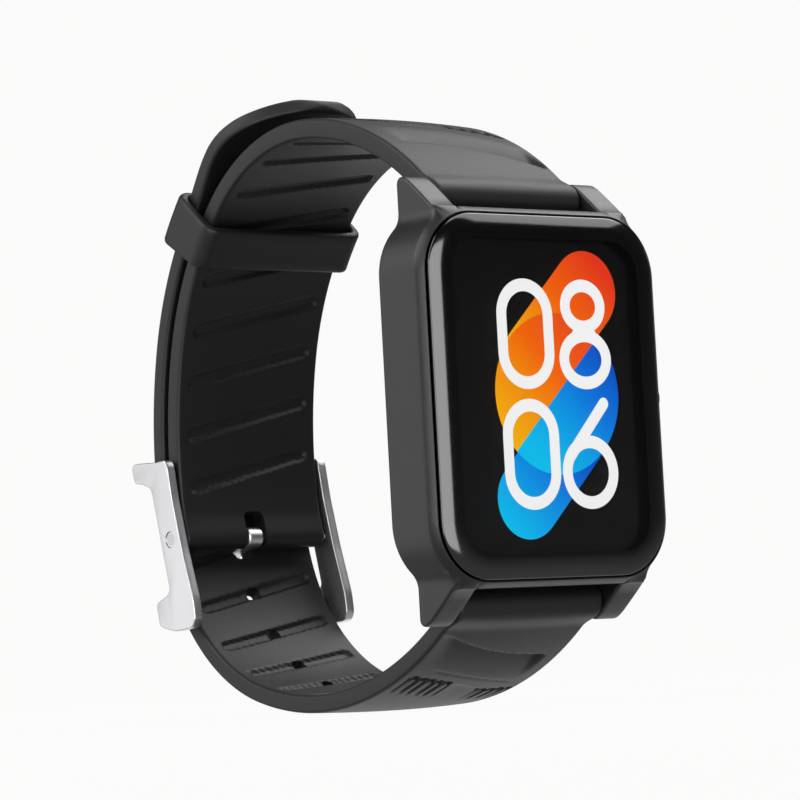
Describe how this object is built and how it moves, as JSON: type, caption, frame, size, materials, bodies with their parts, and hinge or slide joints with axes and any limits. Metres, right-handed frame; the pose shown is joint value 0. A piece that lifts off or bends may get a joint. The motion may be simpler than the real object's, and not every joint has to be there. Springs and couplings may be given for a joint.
{
  "type": "smartwatch",
  "caption": "Rectangular smartwatch with a side button, on a closed silicone strap with a sliding keeper and a steel pin buckle.",
  "frame": {"origin": "centre of the sensor window's flat outer face, at the back of the case", "axes": "+Z towards 12 o'clock, display facing -Y, +X towards the side with the button; the strap loop is on the +Y side and the wrist passes through it along X"},
  "size_m": [0.0385, 0.0684, 0.0772],
  "materials": {
    "case_grey": "fine satin grain, very dark grey",
    "cover_black": "matte black",
    "gasket_grey": "soft matte grey",
    "screw_steel": "plain steel",
    "glass_black": "polished cover glass, black printed border",
    "adhesive": "matte adhesive film",
    "panel_black": "dark display panel",
    "frame_alloy": "bare alloy tray",
    "board_green": "green solder mask",
    "shield_steel": "tinned shield",
    "board_black": "black solder mask",
    "led_green": "clear green lens",
    "diode_dark": "dark filter",
    "battery_foil": "laminated foil pouch",
    "flex_amber": "amber film",
    "motor_steel": "drawn steel can",
    "tungsten": "dull heavy alloy",
    "contact_gold": "plated contact",
    "magnet_nickel": "nickel plated",
    "window_dark": "dark optical window",
    "button_black": "satin black",
    "clip_steel": "spring steel",
    "switch_steel": "stamped steel",
    "plunger_white": "white",
    "bar_steel": "plain steel",
    "spring_steel": "spring wire",
    "strap_grey": "soft matte silicone, dark grey",
    "buckle_satin": "satin bead-blasted steel",
    "pin_steel": "plain steel"
  },
  "bodies": {
    "case": {"case_frame": "case_grey", "rear_cover": "cover_black", "rear_cover_gasket": "gasket_grey", "cover_glass": "glass_black", "glass_adhesive": "adhesive", "display_panel": "panel_black", "inner_frame": "frame_alloy", "main_board": "board_green", "processor_shield": "shield_steel", "sensor_board": "board_black", "sensor_led_1": "led_green", "sensor_led_2": "led_green", "photodiode": "diode_dark", "battery": "battery_foil", "display_flex_cable": "flex_amber", "vibration_motor_can": "motor_steel", "charging_contact_1": "contact_gold", "charging_contact_2": "contact_gold", "charging_magnet_1": "magnet_nickel", "charging_magnet_2": "magnet_nickel", "sensor_window": "window_dark", "button_oring": "gasket_grey", "side_switch": "switch_steel", "strap_upper": "strap_grey", "strap_lower": "strap_grey", "rear_cover_screw_1": "screw_steel", "rear_cover_screw_2": "screw_steel", "rear_cover_screw_3": "screw_steel", "rear_cover_screw_4": "screw_steel", "upper_bar_tube": "bar_steel", "upper_bar_spring": "spring_steel", "lower_bar_tube": "bar_steel", "lower_bar_spring": "spring_steel"},
    "button": {"side_button": "button_black", "button_clip": "clip_steel"},
    "switch_plunger": {"switch_plunger": "plunger_white"},
    "keeper": {"keeper_loop": "strap_grey"},
    "buckle": {"buckle_frame": "buckle_satin", "buckle_pin": "pin_steel"},
    "tongue": {"buckle_tongue": "buckle_satin"},
    "motor_rotor": {"vibration_motor_rotor": "tungsten"},
    "upper_left_bar_tip": {"upper_bar_tip_left": "bar_steel"},
    "upper_right_bar_tip": {"upper_bar_tip_right": "bar_steel"},
    "lower_left_bar_tip": {"lower_bar_tip_left": "bar_steel"},
    "lower_right_bar_tip": {"lower_bar_tip_right": "bar_steel"}
  },
  "joints": [
    {"name": "button_press", "type": "slide", "parent": "case", "child": "button", "axis": [-1, 0, 0], "range_m": [0, 0.0005], "stiffness_N_per_m": 1500},
    {"name": "switch_press", "type": "slide", "parent": "case", "child": "switch_plunger", "axis": [-1, 0, 0], "range_m": [0, 0.0004]},
    {"name": "keeper_slide", "type": "hinge", "parent": "case", "child": "keeper", "pos_m": [0, 0.01128, 0.00132], "axis": [-1, 0, 0], "range_deg": [0, 20]},
    {"name": "buckle_swing", "type": "hinge", "parent": "case", "child": "buckle", "pos_m": [0, 0.04956, -0.01312], "axis": [1, 0, 0], "range_deg": [-2.5, 2.5]},
    {"name": "tongue_lift", "type": "hinge", "parent": "buckle", "child": "tongue", "pos_m": [0, 0.04956, -0.01312], "axis": [1, 0, 0], "range_deg": [0, 16]},
    {"name": "motor_spin", "type": "hinge", "parent": "case", "child": "motor_rotor", "pos_m": [0, -0.00535, -0.01695], "axis": [1, 0, 0], "continuous": true},
    {"name": "upper_left_tip_press", "type": "slide", "parent": "case", "child": "upper_left_bar_tip", "axis": [1, 0, 0], "range_m": [0, 0.0012], "stiffness_N_per_m": 400},
    {"name": "upper_right_tip_press", "type": "slide", "parent": "case", "child": "upper_right_bar_tip", "axis": [-1, 0, 0], "range_m": [0, 0.0012], "stiffness_N_per_m": 400},
    {"name": "lower_left_tip_press", "type": "slide", "parent": "case", "child": "lower_left_bar_tip", "axis": [1, 0, 0], "range_m": [0, 0.0012], "stiffness_N_per_m": 400},
    {"name": "lower_right_tip_press", "type": "slide", "parent": "case", "child": "lower_right_bar_tip", "axis": [-1, 0, 0], "range_m": [0, 0.0012], "stiffness_N_per_m": 400}
  ],
  "couplings": [
    {"joint": "switch_press", "follows": "button_press", "ratio": 0.8}
  ]
}
